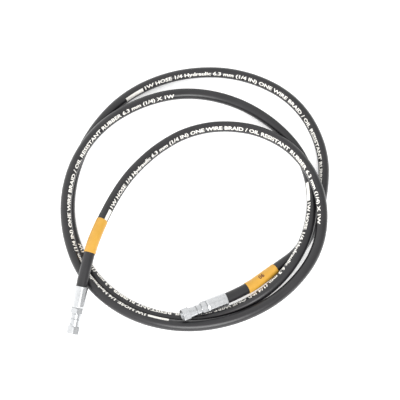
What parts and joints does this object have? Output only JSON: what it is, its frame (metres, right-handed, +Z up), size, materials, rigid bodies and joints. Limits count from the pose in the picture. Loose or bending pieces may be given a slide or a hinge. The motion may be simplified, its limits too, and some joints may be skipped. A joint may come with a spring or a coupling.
{
  "type": "hydraulic hose assembly",
  "caption": "Coiled wire-braid hydraulic hose with a crimped swivel-nut fitting at each end and marker sleeves.",
  "frame": {"origin": "on the floor that the coil lies on, under the middle of the whole assembly's box", "axes": "+Z up, across the coil's plane; fitting A points towards -Y, fitting B towards -X"},
  "size_m": [0.332, 0.3542, 0.0447],
  "materials": {
    "cover_rubber": "satin",
    "braid_wire": "drawn wire",
    "tube_rubber": "smooth",
    "marker_plastic": "satin",
    "ring_wire": "drawn wire",
    "plated_steel": "bright zinc plate"
  },
  "bodies": {
    "hose_assembly": {"hose_cover": "cover_rubber", "wire_braid": "braid_wire", "inner_tube": "tube_rubber", "marker_sleeve_a": "marker_plastic", "marker_sleeve_b": "marker_plastic", "ferrule_a": "plated_steel", "nipple_a": "plated_steel", "retaining_ring_a": "ring_wire", "ferrule_b": "plated_steel", "nipple_b": "plated_steel", "retaining_ring_b": "ring_wire"},
    "nut_a": {"swivel_nut_a": "plated_steel"},
    "nut_b": {"swivel_nut_b": "plated_steel"}
  },
  "joints": [
    {"name": "nut_a_spin", "type": "hinge", "parent": "hose_assembly", "child": "nut_a", "pos_m": [-0.14524, -0.16372, 0.01276], "axis": [-0.1855, -0.9275, -0.3246], "continuous": true},
    {"name": "nut_b_spin", "type": "hinge", "parent": "hose_assembly", "child": "nut_b", "pos_m": [-0.00587, -0.1531, 0.02721], "axis": [-0.9019, -0.4035, 0.1543], "continuous": true}
  ]
}
